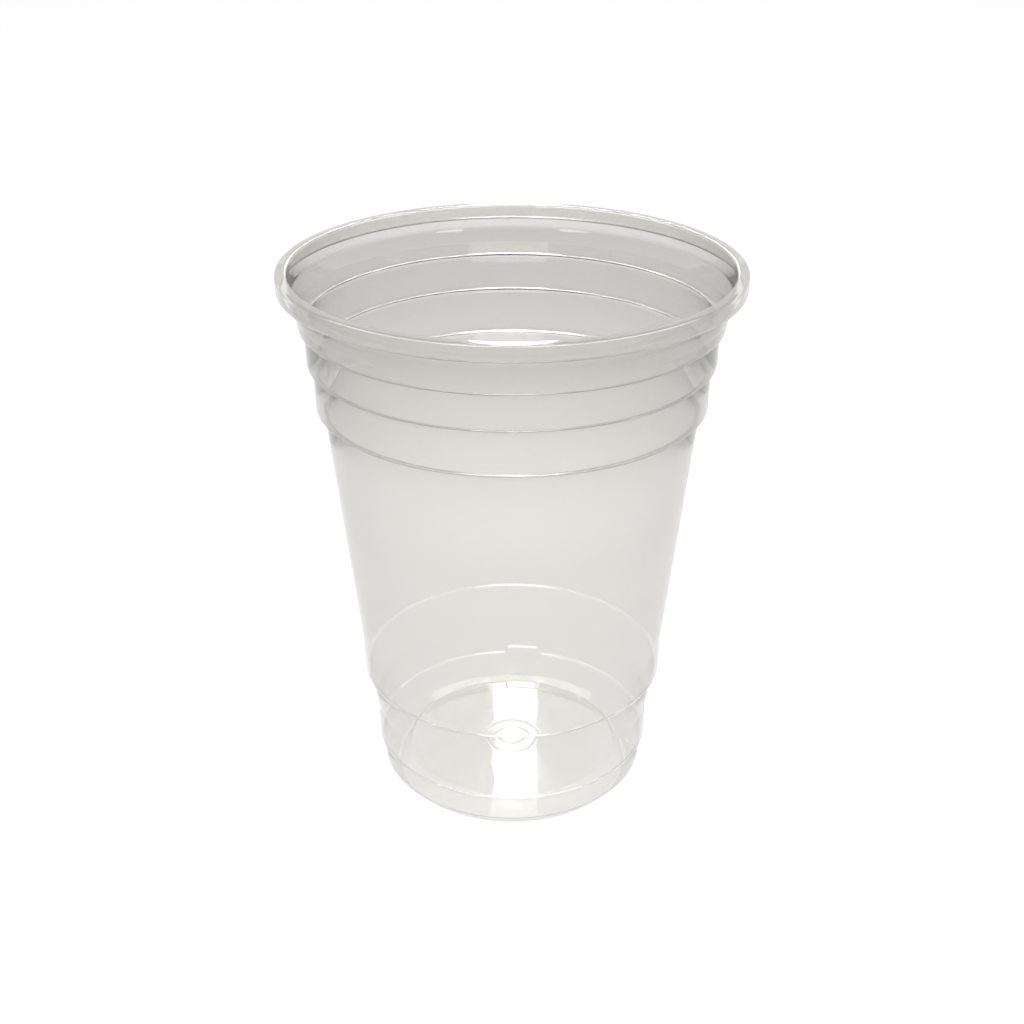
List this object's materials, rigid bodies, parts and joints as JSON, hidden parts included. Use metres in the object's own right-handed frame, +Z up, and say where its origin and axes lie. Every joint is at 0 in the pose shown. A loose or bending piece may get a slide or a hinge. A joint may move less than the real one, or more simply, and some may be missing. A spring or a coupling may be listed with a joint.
{
  "type": "clear plastic drinks cup",
  "caption": "Tapered clear plastic drinks cup in one formed sheet, with a curled rim, stepped rings, one stacking lug and a raised floor.",
  "frame": {"origin": "centre of the base on the plane that the cup stands on", "axes": "+Z up the cup's axis, from the base to the open mouth; the denest lug lies 5.3 degrees from +Y towards +X"},
  "size_m": [0.098, 0.098, 0.1223],
  "materials": {
    "clear_plastic": "clear, glossy, thin formed sheet"
  },
  "bodies": {
    "root": {"cup": "clear_plastic"}
  },
  "joints": []
}
